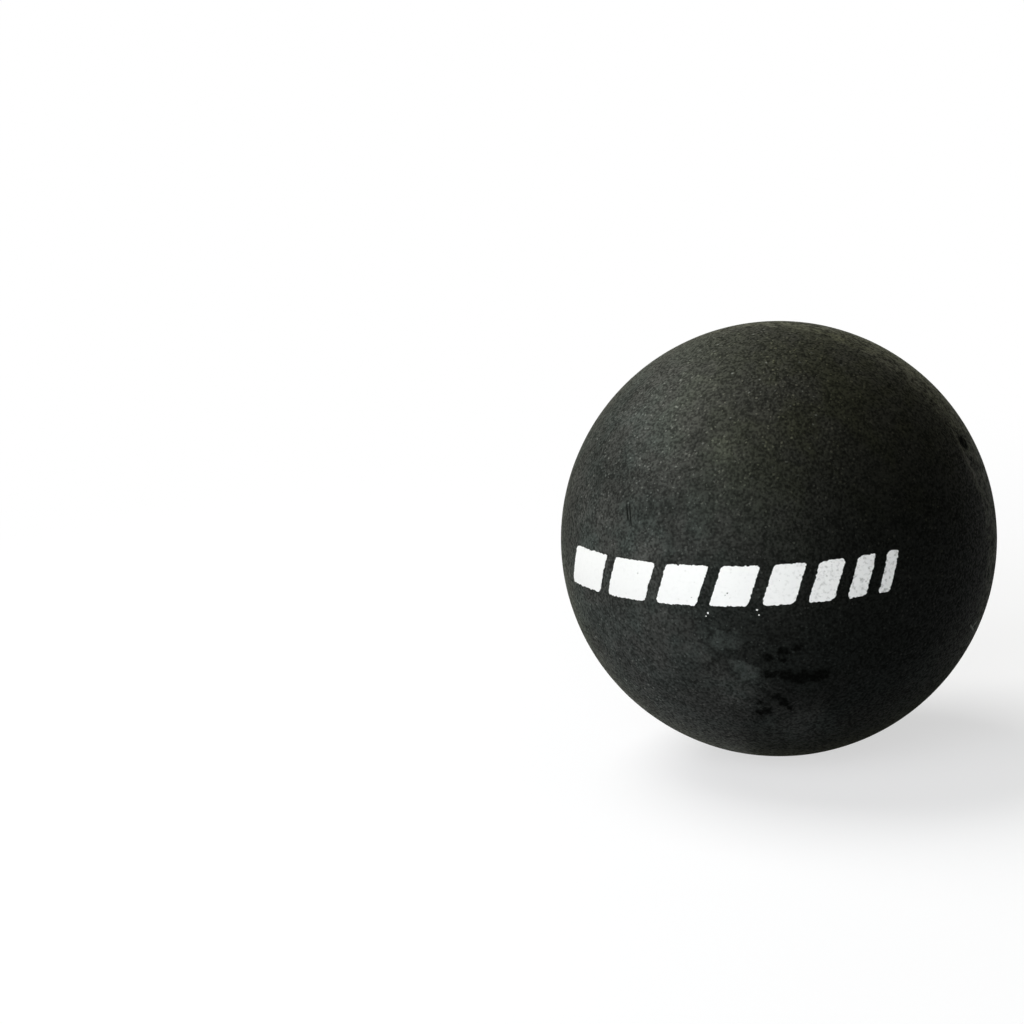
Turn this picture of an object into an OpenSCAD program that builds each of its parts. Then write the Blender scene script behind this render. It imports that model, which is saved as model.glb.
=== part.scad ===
// Squash ball: two moulded rubber half balls, the adhesive that joins them,
// and the ink printed on the outside.
// The origin is the middle of the ball. Z is up, the seam lies in the XZ plane,
// the row of bars faces -Y and the speed dots face +Y.

/* [Ball] */
// Outside diameter of the rubber
ball_d = 40; // [36:0.5:60]
// Thickness of the rubber wall
wall_t = 5.2; // [3:0.1:8]

/* [Seam] */
// Thickness of the adhesive between the two rims
film_t = 0.12; // [0.05:0.01:0.4]
// Depth of the groove buffed along the outside of the seam
groove_depth = 0.25; // [0.15:0.05:0.6]
// How far the adhesive in that groove lies below the rubber
groove_sink = 0.06; // [0.02:0.01:0.12]
// Width of the bead of adhesive squeezed out into the hollow
bead_w = 1.6; // [0.8:0.1:3]
// Height of that bead above the inside of the wall
bead_h = 0.5; // [0.2:0.05:1]

/* [Row of bars] */
// Thickness of all the ink on the ball
ink_t = 0.05; // [0.02:0.01:0.1]
// Height of the printed row
row_h = 3.6; // [2:0.1:6]
// How far the middle of the row lies above the middle of the ball
row_lift = 0.8; // [-2:0.1:3]
// Number of bars
bar_count = 8; // [3:1:9]
// Width of the widest bar, on the left
wide_bar_w = 5.2; // [3:0.1:7]
// Width of the narrowest bar, on the right
narrow_bar_w = 1.1; // [0.6:0.1:3]
// Bare rubber between two bars
bar_spacing = 1.25; // [0.6:0.05:2.5]
// Lean of the bars to the right, in degrees
bar_lean = 20; // [0:1:35]

/* [Speed dots] */
// Number of dots
dot_count = 2; // [1:1:3]
// Diameter of a dot
dot_d = 2.8; // [1.5:0.1:4]
// Distance between the middles of two dots
dot_pitch = 4.6; // [4.2:0.1:8]

/* [Hidden] */
$fn = 120;
ball_r = ball_d / 2;
cavity_r = ball_r - wall_t;
// How far a cutting shape runs past what it cuts
overrun = 1;

rubber_colour = [0.13, 0.135, 0.125];
adhesive_colour = [0.09, 0.085, 0.08];
bar_colour = [0.93, 0.94, 0.92];
dot_colour = [0.95, 0.78, 0.1];

// The ring of wall between two radii, as a half section: X is the distance from
// the axis through the two poles and Y the distance from the seam
module wall_section(outer_r) {
    difference() {
        circle(r = outer_r);
        circle(r = cavity_r);
        translate([-ball_r - overrun, -ball_r - overrun])
            square([ball_r + overrun, 2 * (ball_r + overrun)]);
    }
}

// What the adhesive takes out of that section: the film between the rims and
// the groove along the outside, whose sides open at 45 degrees
module seam_section() {
    groove_foot = ball_r - groove_depth;
    film_half = film_t / 2;
    mouth_half = film_half + groove_depth + overrun;
    translate([0, -film_half])
        square([ball_r + overrun, film_t]);
    polygon([
        [groove_foot, -film_half],
        [ball_r + overrun, -mouth_half],
        [ball_r + overrun, mouth_half],
        [groove_foot, film_half]
    ]);
}

// The bead inside, an arc across its width, bounded by the hollow's wall
module bead_section() {
    bead_r = (bead_w * bead_w / 4 + bead_h * bead_h) / (2 * bead_h);
    intersection() {
        circle(r = cavity_r);
        translate([cavity_r - bead_h + bead_r, 0])
            circle(r = bead_r);
    }
}

// One half ball, open towards -Z, with its rim half a film above the seam
module half_ball() {
    rotate_extrude()
        difference() {
            wall_section(ball_r);
            seam_section();
            translate([-overrun, -ball_r - overrun])
                square([ball_r + 2 * overrun, ball_r + overrun]);
        }
}

module front_half() {
    color(rubber_colour)
        rotate([90, 0, 0])
            half_ball();
}

module back_half() {
    color(rubber_colour)
        rotate([-90, 0, 0])
            half_ball();
}

// The film, the filled groove and the bead inside, all one ring
module seam_adhesive() {
    color(adhesive_colour)
        rotate([90, 0, 0])
            rotate_extrude() {
                intersection() {
                    wall_section(ball_r - groove_sink);
                    seam_section();
                }
                bead_section();
            }
}

// An outline printed on the ball, turned by an angle about Z from the side that
// faces -Y. In the outline, X runs to the right and Y runs up.
module ink_film(turn) {
    rotate([0, 0, turn])
        intersection() {
            difference() {
                sphere(r = ball_r + ink_t);
                sphere(r = ball_r);
            }
            rotate([90, 0, 0])
                linear_extrude(height = ball_r + overrun)
                    children();
        }
}

// The turn about Z that moves a print this far along the surface
function turn_for(arc_length) = arc_length / ball_r * 180 / PI;

// The bars narrow evenly from left to right
function bar_w(i) = wide_bar_w + (narrow_bar_w - wide_bar_w) * (i - 1) / (bar_count - 1);
// Where bar i starts, measured along the ball from the start of the row
function bar_start(i) = i == 1 ? 0 : bar_start(i - 1) + bar_w(i - 1) + bar_spacing;
row_w = bar_start(bar_count) + bar_w(bar_count);

module print_bar(i) {
    half_w = bar_w(i) / 2;
    half_h = row_h / 2;
    lean_x = half_h * tan(bar_lean);
    color(bar_colour)
        ink_film(turn_for(bar_start(i) + half_w - row_w / 2))
            translate([0, row_lift])
                polygon([
                    [-half_w - lean_x, -half_h],
                    [half_w - lean_x, -half_h],
                    [half_w + lean_x, half_h],
                    [-half_w + lean_x, half_h]
                ]);
}

// The dots lie side by side, their row centred on the side that faces +Y
module speed_dot(i) {
    along = (i - (dot_count + 1) / 2) * dot_pitch;
    color(dot_colour)
        ink_film(180 + turn_for(along))
            circle(d = dot_d);
}

front_half();
back_half();
seam_adhesive();
for (i = [1:bar_count])
    print_bar(i);
for (i = [1:dot_count])
    speed_dot(i);
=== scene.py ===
"""The looks of a squash ball: worn black rubber, the adhesive in its seam and pad-printed ink.

All lengths are metres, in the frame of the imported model. The origin is the middle of the ball,
Z is up, the seam lies in the XZ plane, the row of bars faces -Y and the speed dots face +Y.
"""

import logging
import math
from collections.abc import Sequence
from dataclasses import dataclass
from enum import Enum
from functools import reduce
from operator import or_
from typing import Any, ClassVar

import bpy
import numpy as np
from mathutils import Matrix, Vector


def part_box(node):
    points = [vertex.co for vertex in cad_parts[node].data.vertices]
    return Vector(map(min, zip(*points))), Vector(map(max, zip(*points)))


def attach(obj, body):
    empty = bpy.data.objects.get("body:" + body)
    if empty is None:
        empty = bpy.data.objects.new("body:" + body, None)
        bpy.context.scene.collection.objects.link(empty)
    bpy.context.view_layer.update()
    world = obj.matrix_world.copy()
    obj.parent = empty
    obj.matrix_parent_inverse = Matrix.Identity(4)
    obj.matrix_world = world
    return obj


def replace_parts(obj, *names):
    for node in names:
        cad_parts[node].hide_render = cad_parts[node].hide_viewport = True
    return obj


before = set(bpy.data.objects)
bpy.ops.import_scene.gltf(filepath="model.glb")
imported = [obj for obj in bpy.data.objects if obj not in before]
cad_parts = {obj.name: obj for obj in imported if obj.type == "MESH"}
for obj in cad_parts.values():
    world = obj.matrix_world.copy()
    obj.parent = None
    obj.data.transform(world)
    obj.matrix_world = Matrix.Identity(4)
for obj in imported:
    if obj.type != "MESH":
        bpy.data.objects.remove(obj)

MM = 0.001
MICRON = 1e-6
PHOTO_PIXELS = 1024
BODY = "root"

Colour = tuple[float, float, float]
Point2 = tuple[float, float]
Pixel = tuple[float, float]
Face = Sequence[int]
Sockets = dict[str | int, Any]

log = logging.getLogger("squash_ball")


class Side(Enum):
    """The half of the ball, as the sign of Y at its pole."""

    FRONT = -1
    BACK = 1


class Slot(Enum):
    """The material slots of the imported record."""

    RUBBER = "rubber"
    ADHESIVE = "seam_adhesive"
    WHITE_INK = "white_ink"
    YELLOW_INK = "yellow_ink"


def node_points(node: str) -> np.ndarray:
    """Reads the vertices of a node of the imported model.

    Args:
        node: The node's name.

    Returns:
        An array with a row of three coordinates for each vertex.
    """
    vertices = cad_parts[node].data.vertices
    points = np.empty(len(vertices) * 3, np.float32)
    vertices.foreach_get("co", points)
    return points.reshape(-1, 3).astype(float)


def nodes_named(prefix: str) -> list[str]:
    """Lists the nodes whose names are a prefix and a number, in the order of the numbers."""
    found = [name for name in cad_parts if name.startswith(prefix)]
    return sorted(found, key=lambda name: int(name.removeprefix(prefix)))


def unit(rows: np.ndarray) -> np.ndarray:
    """Scales each row of an array to length 1."""
    return rows / np.linalg.norm(rows, axis=-1, keepdims=True)


def add_object(name: str, data: bpy.types.ID) -> bpy.types.Object:
    """Adds an object to the scene.

    Args:
        name: Its name.
        data: Its mesh, lamp or camera.

    Returns:
        The object.
    """
    added = bpy.data.objects.new(name, data)
    bpy.context.scene.collection.objects.link(added)
    return added


def new_mesh(
    name: str, points: Sequence, faces: Sequence[Face], material: bpy.types.Material
) -> bpy.types.Mesh:
    """Makes a mesh.

    Args:
        name: Its name.
        points: Its vertices, in the frame.
        faces: Its faces, as indices of vertices.
        material: Its material.

    Returns:
        The mesh.
    """
    mesh = bpy.data.meshes.new(name)
    mesh.from_pydata(points, [], faces)
    mesh.materials.append(material)
    return mesh


@dataclass(frozen=True)
class BallSizes:
    """The ball's own sizes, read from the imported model.

    Args:
        radius: The outside of the rubber.
        cavity_radius: The inside of the rubber.
        film_half: Half the thickness of the adhesive between the rims.
        groove_foot: Distance from the axis through the poles to the foot of the seam's groove.
        bead_half: Half the width of the bead of adhesive in the hollow.
        bead_height: How far that bead stands above the inside of the rubber.
        ink_height: The thickness of the ink.
    """

    radius: float
    cavity_radius: float
    film_half: float
    groove_foot: float
    bead_half: float
    bead_height: float
    ink_height: float

    @classmethod
    def from_frame(cls) -> "BallSizes":
        """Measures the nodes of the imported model.

        Returns:
            The sizes.
        """
        rubber = node_points("front_half")
        adhesive = node_points("seam_adhesive")
        ink = node_points("print_bar_1")
        from_middle = np.linalg.norm(rubber, axis=1)
        rim_y = rubber[:, 1].max()
        rim = rubber[rubber[:, 1] > rim_y - MICRON]
        radius = float(from_middle.max())
        cavity_radius = float(from_middle.min())
        adhesive_reach = np.hypot(adhesive[:, 0], adhesive[:, 2])
        return cls(
            radius=radius,
            cavity_radius=cavity_radius,
            film_half=float(-rim_y),
            groove_foot=float(np.hypot(rim[:, 0], rim[:, 2]).max()),
            bead_half=float(np.abs(adhesive[:, 1]).max()),
            bead_height=float(cavity_radius - adhesive_reach.min()),
            ink_height=float(np.linalg.norm(ink, axis=1).max() - radius),
        )

    def groove_side(self, radius: float) -> Point2:
        """Finds where the groove's side, which opens at 45 degrees, meets a sphere.

        Args:
            radius: The radius of the sphere.

        Returns:
            The distance from the axis through the poles, and the distance from the seam.
        """
        foot, half = self.groove_foot, self.film_half
        total = foot + half
        rise = (math.sqrt(total**2 - 2 * (foot**2 + half**2 - radius**2)) - total) / 2
        return foot + rise, half + rise


@dataclass(frozen=True)
class PhotoCamera:
    """The camera of the photograph, seen from which the ball falls on its place in the picture.

    Args:
        radius: The ball's radius.
        azimuth: Degrees that the camera stands to the right of the printed side.
        elevation: Degrees that it stands above the middle of the ball.
        roll: Degrees that the print rises to the right in the picture.
        distance: From the middle of the ball.
        focal_pixels: The focal length, in pixels of the photograph.
        ball_middle: Where the middle of the ball falls in the photograph.
        sensor_mm: The width of the sensor, in millimetres.
    """

    radius: float
    azimuth: float = 18.55
    elevation: float = 14.0
    roll: float = 3.5
    distance: float = 400 * MM
    focal_pixels: float = 4343.0
    ball_middle: Pixel = (778.3, 538.5)
    sensor_mm: float = 36.0

    def towards(self, azimuth: float, elevation: float) -> Vector:
        """Gives a direction from the ball, as seen by the camera.

        Args:
            azimuth: Degrees to the right of the camera.
            elevation: Degrees above the horizon.

        Returns:
            The unit vector from the middle of the ball.
        """
        turn = math.radians(self.azimuth + azimuth)
        rise = math.radians(elevation)
        level = math.cos(rise)
        return Vector((math.sin(turn) * level, -math.cos(turn) * level, math.sin(rise)))

    def ray(self, pixel: Pixel) -> Vector:
        """Gives the direction in which the camera looks through a pixel, in its own axes."""
        half = PHOTO_PIXELS / 2
        return Vector((pixel[0] - half, half - pixel[1], -self.focal_pixels)).normalized()

    def rotation(self) -> Matrix:
        """Turns the camera so that the ball's middle falls on its pixel.

        Returns:
            The rotation from the camera's axes to the frame.
        """
        back = self.towards(0, self.elevation)
        aimed = back.to_track_quat("Z", "Y").to_matrix()
        rolled = aimed @ Matrix.Rotation(math.radians(-self.roll), 3, "Z")
        shift = self.ray(self.ball_middle).rotation_difference(Vector((0, 0, -1)))
        return rolled @ shift.to_matrix()

    def on_ball(self, pixel: Pixel) -> Vector:
        """Finds the point of the ball that the camera sees at a pixel.

        Args:
            pixel: A place in the photograph, on the ball.

        Returns:
            The point on the ball's surface.
        """
        start = self.towards(0, self.elevation) * self.distance
        along = self.rotation() @ self.ray(pixel)
        nearest = -start.dot(along)
        beside = (start + along * nearest).length_squared
        half_chord = math.sqrt(max(self.radius**2 - beside, 0.0))
        return start + along * (nearest - half_chord)

    def build(self) -> None:
        """Makes the camera and gives it to the scene."""
        data = bpy.data.cameras.new("photo_camera")
        data.sensor_width = self.sensor_mm
        data.lens = self.sensor_mm * self.focal_pixels / PHOTO_PIXELS
        data.clip_start = self.distance / 10
        data.clip_end = self.distance * 100
        camera = add_object("photo_camera", data)
        place = Matrix.Translation(self.towards(0, self.elevation) * self.distance)
        camera.matrix_world = place @ self.rotation().to_4x4()
        bpy.context.scene.camera = camera


class Sock:
    """A socket that gives one value, and that takes part in Python's own arithmetic."""

    def __init__(self, shader: "Shader", socket: bpy.types.NodeSocket) -> None:
        """Keeps the socket and the shader that it belongs to."""
        self.shader = shader
        self.socket = socket

    def _math(self, operation: str, *values: Any) -> "Sock":
        """Adds a Math node whose inputs are these numbers or sockets, in order."""
        return self.shader.value("ShaderNodeMath", dict(enumerate(values)), operation=operation)

    def __add__(self, other: Any) -> "Sock":
        """Adds a number or a socket."""
        return self._math("ADD", self, other)

    __radd__ = __add__

    def __sub__(self, other: Any) -> "Sock":
        """Subtracts a number or a socket."""
        return self._math("SUBTRACT", self, other)

    def __rsub__(self, other: Any) -> "Sock":
        """Is subtracted from a number."""
        return self._math("SUBTRACT", other, self)

    def __mul__(self, other: Any) -> "Sock":
        """Multiplies by a number or a socket."""
        return self._math("MULTIPLY", self, other)

    __rmul__ = __mul__

    def __or__(self, other: Any) -> "Sock":
        """Gives the larger of two masks."""
        return self._math("MAXIMUM", self, other)

    def band(self, low: float, high: float) -> "Sock":
        """Turns a value into a mask.

        Args:
            low: The value at which the mask is 0.
            high: The value at which the mask is 1, which may be less than low.

        Returns:
            The mask, which rises smoothly between the two.
        """
        ends = (low, high, 0.0, 1.0) if low < high else (high, low, 1.0, 0.0)
        sockets = dict(zip(("From Min", "From Max", "To Min", "To Max"), ends))
        return self.shader.value(
            "ShaderNodeMapRange", {"Value": self, **sockets}, interpolation_type="SMOOTHSTEP"
        )


@dataclass(frozen=True)
class Noise:
    """Smooth noise in a material.

    Args:
        period: The size of its lumps.
        detail: How many finer layers it has.
        seed: Picks one noise out of many.
    """

    period: float
    detail: float
    seed: float

    def inputs(self) -> Sockets:
        """Gives the inputs of its node."""
        return {"Scale": 1 / self.period, "Detail": self.detail, "W": self.seed}


@dataclass(frozen=True)
class Specks:
    """Round specks scattered in a material.

    Args:
        pitch: The distance between two places for a speck.
        radius: The radius of the largest speck.
        share: The share of the places that have a speck.
    """

    pitch: float
    radius: float
    share: float


@dataclass(frozen=True)
class Warp:
    """The uneven outline of what is drawn in a material.

    Args:
        period: The size of the bulges.
        reach: The furthest that X, Y or Z is shifted.
    """

    period: float
    reach: float


class Shader:
    """The nodes of one material or world, written as expressions."""

    WARP_SEED = 31.0
    VECTORS_TO_NUMBER = ("DOT_PRODUCT", "DISTANCE")

    def __init__(self, tree: bpy.types.NodeTree) -> None:
        """Starts with an empty tree."""
        self.tree = tree
        self.tree.nodes.clear()

    @classmethod
    def for_material(cls, name: str) -> tuple["Shader", bpy.types.Material]:
        """Makes a material.

        Args:
            name: The material's name.

        Returns:
            Its shader and the material.
        """
        material = bpy.data.materials.new(name)
        material.use_nodes = True
        return cls(material.node_tree), material

    def node(self, kind: str, sockets: Sockets, **settings: Any) -> bpy.types.Node:
        """Adds a node.

        Args:
            kind: The node's type.
            sockets: A number, colour, vector or socket for each input, by name or index.
            settings: The node's own properties, which are set first.

        Returns:
            The node.
        """
        node = self.tree.nodes.new(kind)
        for name, value in settings.items():
            setattr(node, name, value)
        for key, value in sockets.items():
            entry = node.inputs[key]
            if isinstance(value, Sock):
                self.tree.links.new(value.socket, entry)
            elif entry.type == "RGBA":
                entry.default_value = (*value, 1.0)
            else:
                entry.default_value = value
        return node

    def value(self, kind: str, sockets: Sockets, output: str | int = 0, **settings: Any) -> Sock:
        """Adds a node and gives the output of that name or index."""
        return Sock(self, self.node(kind, sockets, **settings).outputs[output])

    def place(self) -> Sock:
        """Gives the point of the surface, in the frame."""
        return self.value("ShaderNodeTexCoord", {}, "Object")

    def axis(self, vector: Sock, name: str) -> Sock:
        """Gives the X, Y or Z of a vector."""
        return self.value("ShaderNodeSeparateXYZ", {"Vector": vector}, name)

    def vectors(self, operation: str, *values: Any) -> Sock:
        """Adds a Vector Math node whose inputs are these vectors, in order."""
        output = "Value" if operation in self.VECTORS_TO_NUMBER else "Vector"
        return self.value("ShaderNodeVectorMath", dict(enumerate(values)), output, operation=operation)

    def noise(self, vector: Sock, noise: Noise, output: str = "Fac") -> Sock:
        """Gives noise from 0 to 1 at a vector, or three such noises as the output Color."""
        sockets = {"Vector": vector, **noise.inputs()}
        return self.value("ShaderNodeTexNoise", sockets, output, noise_dimensions="4D")

    def warp(self, vector: Sock, warp: Warp) -> Sock:
        """Shifts a vector by noise, so that what is drawn with it gets an uneven outline.

        Args:
            vector: The vector.
            warp: The outline.

        Returns:
            The shifted vector.
        """
        shift = self.noise(vector, Noise(warp.period, 1.0, self.WARP_SEED), "Color")
        start = self.vectors("SUBTRACT", vector, [warp.reach] * 3)
        return self.vectors("MULTIPLY_ADD", shift, [2 * warp.reach] * 3, start)

    def specks(self, vector: Sock, specks: Specks) -> Sock:
        """Masks scattered specks.

        Args:
            vector: Where they are read.
            specks: The specks.

        Returns:
            The mask.
        """
        cells = self.node("ShaderNodeTexVoronoi", {"Vector": vector, "Scale": 1 / specks.pitch})
        distance = Sock(self, cells.outputs["Distance"])
        pick = self.axis(Sock(self, cells.outputs["Color"]), "X")
        largest = specks.radius / specks.pitch
        size = pick.band(1 - specks.share, 1.0) * largest
        return (size - distance).band(0.0, 0.4 * largest)

    def mix(self, factor: Any, first: Any, second: Any, blend: str = "MIX") -> Sock:
        """Mixes two colours in a blend mode, with factor as the share of the second."""
        sockets = {0: factor, 6: first, 7: second}
        return self.value("ShaderNodeMix", sockets, 2, data_type="RGBA", blend_type=blend)

    def bump(self, height: Sock, distance: float) -> Sock:
        """Turns a height from 0 to 1 into a normal, where 1 stands out by a distance."""
        return self.value("ShaderNodeBump", {"Height": height, "Distance": distance})

    def principled(self, **inputs: Any) -> Sock:
        """Adds a Principled BSDF, whose inputs have an underscore for each space."""
        sockets = {name.replace("_", " "): value for name, value in inputs.items()}
        return self.value("ShaderNodeBsdfPrincipled", sockets)

    def mix_shaders(self, factor: Any, first: Sock, second: Sock) -> Sock:
        """Mixes two shaders, with factor as the share of the second."""
        return self.value("ShaderNodeMixShader", {0: factor, 1: first, 2: second})

    def surface(self, shader: Sock) -> None:
        """Ends the material in a shader."""
        self.node("ShaderNodeOutputMaterial", {"Surface": shader})

    def ray(self, kind: str) -> Sock:
        """Gives Light Path's mask for a kind of ray, such as "Is Camera Ray"."""
        return self.value("ShaderNodeLightPath", {}, kind)

    def background_rays(self, behind: Sock) -> Sock:
        """Masks the rays that see the white background, where behind masks it in reflections."""
        seen = self.ray("Is Camera Ray") | self.ray("Is Transmission Ray")
        return seen | (self.ray("Is Glossy Ray") * behind)


@dataclass(frozen=True)
class Stroke:
    """A fine straight scratch, placed by the photograph.

    Args:
        start: The pixel at one end.
        end: The pixel at the other end.
        width: Its width.
    """

    start: Pixel
    end: Pixel
    width: float


@dataclass(frozen=True)
class Spot:
    """A round mark, placed by the photograph.

    Args:
        middle: The pixel at its middle.
        radius: Its radius.
    """

    middle: Pixel
    radius: float


@dataclass(frozen=True)
class Zone:
    """A side of the ball, placed by the photograph.

    Args:
        middle: The pixel at its middle.
        begins: The share of the radius, towards that pixel, at which it begins.
        full: The share at which it is full.
    """

    middle: Pixel
    begins: float
    full: float


def spots(*rows: tuple[float, float, float]) -> tuple[Spot, ...]:
    """Makes spots from the pixel's two coordinates and the radius in millimetres."""
    return tuple(Spot((across, down), radius * MM) for across, down, radius in rows)


@dataclass(frozen=True)
class WearAndPaintedLight:
    """The marks that the photograph shows on the rubber, where its dust lies, and where light and
    shade are painted into its colour.

    Args:
        cuts: Dark scratches.
        scuffs: Pale scratches.
        smudges: Places with a pale film.
        hazes: Wider places with a little more dust.
        stains: Dark blots.
        dents: Shallow dents.
        bloom: The dusty bloom.
        dust_and_light_side: The side with more dust, which is also painted light on the side that the
            lamps light most.
        dust_and_light_edge: The part of it with most dust and most painted light.
        specked_sides: The sides with more specks.
        warm_side: The side with a warmer tint.
        shaded_limb: The limb with less dust, which is painted shade.
        lit_limb: The limb with more dust, which is a painted rim light.
        front_buff: How far from the seam the front half is buffed.
        back_buff: How far from the seam the back half is buffed.
    """

    cuts: tuple[Stroke, ...] = (
        Stroke((626.5, 502), (628.5, 523), 0.18 * MM),
        Stroke((629.5, 500), (631.5, 528), 0.15 * MM),
    )
    scuffs: tuple[Stroke, ...] = (
        Stroke((971, 629), (977.5, 621), 0.24 * MM),
        Stroke((970, 625), (974, 631), 0.18 * MM),
    )
    smudges: tuple[Spot, ...] = spots(
        (720, 642, 1.20), (733, 640, 1.15), (740, 666, 0.95), (750, 672, 1.15), (698, 652, 1.5),
        (966, 456, 1.2), (972, 470, 1.3),
    )
    hazes: tuple[Spot, ...] = spots(
        (598, 538, 6.0), (640, 545, 3.8), (632, 700, 4.2), (732, 688, 4.0), (800, 728, 5.0),
        (722, 447, 2.6),
    )
    stains: tuple[Spot, ...] = spots(
        (768, 658, 0.76), (783, 651, 0.78), (784, 659, 0.58), (798, 648, 0.60), (771, 674, 0.85),
        (788, 675, 1.10), (797, 678, 1.10), (806, 676, 1.00), (815, 677, 1.05), (824, 674, 1.00),
        (760, 702, 0.60), (761, 712, 0.68), (767, 711, 0.62), (778, 697, 0.75), (784, 702, 0.80),
        (790, 707, 0.60), (962, 441, 1.15), (965, 443, 0.95),
    )
    dents: tuple[Spot, ...] = spots(
        (728, 645, 0.95), (748, 672, 1.05), (964, 443, 0.7), (975, 625, 0.6)
    )
    bloom: tuple[Spot, ...] = spots((668, 375, 8.5))
    # Partly dust, partly painted light: the lit left side and its edge are made paler.
    dust_and_light_side: Zone = Zone((588, 530), 0.15, 0.95)
    dust_and_light_edge: Zone = Zone((588, 530), 0.55, 0.88)
    specked_sides: tuple[Zone, ...] = (Zone((668, 375), 0.5, 1.0), Zone((600, 662), 0.80, 0.98))
    warm_side: Zone = Zone((905, 400), 0.2, 0.95)
    # Painted shade: the upper left limb loses dust, so it is darker.
    shaded_limb: Zone = Zone((586, 440), 0.91, 1.0)
    # Painted light: the lower right limb is made paler, as a rim light.
    lit_limb: Zone = Zone((937, 683), 0.90, 1.0)
    front_buff: float = 0.9 * MM
    back_buff: float = 5.4 * MM


class RubberPatterns:
    """The patterns of worn rubber, which its colour, its pores and its relief share, and of the light
    and shade painted into its colour.

    PAINTED_LIGHT_BELOW and PAINTED_LIGHT_ABOVE are the shares of the radius, down and up, at which the
    painted light there, laid on as paler colour, begins and at which it is full.
    """

    GRAIN = Noise(0.22 * MM, 0.7, 1.0)
    TINY = Noise(0.10 * MM, 0.0, 2.0)
    COARSE = Noise(1.1 * MM, 1.0, 3.0)
    CLOUD = Noise(5.5 * MM, 3.0, 4.0)
    PATCH = Noise(3.2 * MM, 2.0, 5.0)
    BLOTCH = Noise(0.9 * MM, 1.0, 6.0)
    POINTS = Specks(0.34 * MM, 0.14 * MM, 0.55)
    FLECKS = Specks(0.55 * MM, 0.15 * MM, 0.4)
    FLECK_SHIFT = (13 * MM, 7 * MM, 3 * MM)
    UNEVEN = Warp(0.20 * MM, 0.12 * MM)
    RAGGED = Warp(0.8 * MM, 0.6 * MM)
    BLURRED = Warp(0.45 * MM, 0.55 * MM)
    # Painted light: the bottom and the top of the ball are made paler.
    PAINTED_LIGHT_BELOW = (-0.2, -0.95)
    PAINTED_LIGHT_ABOVE = (0.1, 0.95)

    def __init__(self, shader: Shader, marks: WearAndPaintedLight, camera: PhotoCamera) -> None:
        """Lays the patterns on the ball.

        Args:
            shader: The rubber's shader.
            marks: The marks on the rubber.
            camera: The photograph's camera, which places them.
        """
        self.shader = shader
        self.marks = marks
        self.camera = camera
        place = shader.place()
        self.place = place
        uneven = shader.warp(place, self.UNEVEN)
        ragged = shader.warp(place, self.RAGGED)
        blurred = shader.warp(place, self.BLURRED)
        beside = shader.vectors("SUBTRACT", uneven, self.FLECK_SHIFT)
        self.grain = shader.noise(place, self.GRAIN).band(0.30, 0.70)
        self.tiny = shader.noise(place, self.TINY)
        self.coarse = shader.noise(place, self.COARSE)
        self.cloud = shader.noise(place, self.CLOUD).band(0.35, 0.65)
        self.patch = shader.noise(place, self.PATCH).band(0.38, 0.62)
        self.blotches = shader.noise(place, self.BLOTCH).band(0.40, 0.60)
        self.points = shader.specks(uneven, self.POINTS)
        self.flecks = shader.specks(beside, self.FLECKS)
        # The lit left side, paler with dust and with painted light.
        self.side = self.within(marks.dust_and_light_side)
        self.specked = reduce(or_, map(self.within, marks.specked_sides))
        self.strip = self.beside_seam()
        self.smudges = self.round_marks(ragged, marks.smudges, 0.6)
        self.stains = self.round_marks(blurred, marks.stains, 0.4)
        self.cuts = self.scratches(marks.cuts)
        self.scuffs = self.scratches(marks.scuffs)

    def scratch(self, stroke: Stroke) -> Sock:
        """Masks a scratch.

        Args:
            stroke: The scratch.

        Returns:
            The mask, which is 1 on the scratch.
        """
        start, end = self.camera.on_ball(stroke.start), self.camera.on_ball(stroke.end)
        middle = (start + end) / 2
        line = (end - start).normalized()
        across = line.cross(middle.normalized())
        reach = (end - start).length / 2
        vectors = self.shader.vectors
        offset = vectors("SUBTRACT", self.place, middle)
        along = vectors("DOT_PRODUCT", offset, line)
        beside = vectors("DOT_PRODUCT", offset, across)
        narrow = (beside * beside).band((0.8 * stroke.width) ** 2, 0.0)
        near = vectors("DISTANCE", self.place, middle).band(2 * reach, 1.5 * reach)
        return near * narrow * (along * along).band(reach**2, (0.6 * reach) ** 2)

    def scratches(self, strokes: tuple[Stroke, ...]) -> Sock:
        """Masks several scratches."""
        return reduce(or_, map(self.scratch, strokes))

    def round_marks(self, place: Sock, marks: tuple[Spot, ...], core: float) -> Sock:
        """Masks several round marks.

        Args:
            place: The point of the surface, or what it is shifted to.
            marks: The marks.
            core: The share of a mark's radius within which the mask is full.

        Returns:
            The mask.
        """
        masks = []
        for mark in marks:
            away = self.shader.vectors("DISTANCE", place, self.camera.on_ball(mark.middle))
            masks.append(away.band(mark.radius, core * mark.radius))
        return reduce(or_, masks)

    def within(self, zone: Zone) -> Sock:
        """Masks a side of the ball.

        Args:
            zone: The side.

        Returns:
            The mask.
        """
        radius = self.camera.radius
        towards = self.camera.on_ball(zone.middle).normalized()
        reach = self.shader.vectors("DOT_PRODUCT", self.place, towards)
        return reach.band(zone.begins * radius, zone.full * radius)

    def beside_seam(self) -> Sock:
        """Masks the strip that was buffed when the seam was cleaned, wider on the back half.

        Returns:
            The mask, whose borders are uneven.
        """
        front, back = self.marks.front_buff, self.marks.back_buff
        from_seam = self.shader.axis(self.place, "Y") + (self.coarse - 0.5) * front
        return from_seam.band(-front, -front / 2) * from_seam.band(back, back / 2)

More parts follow.
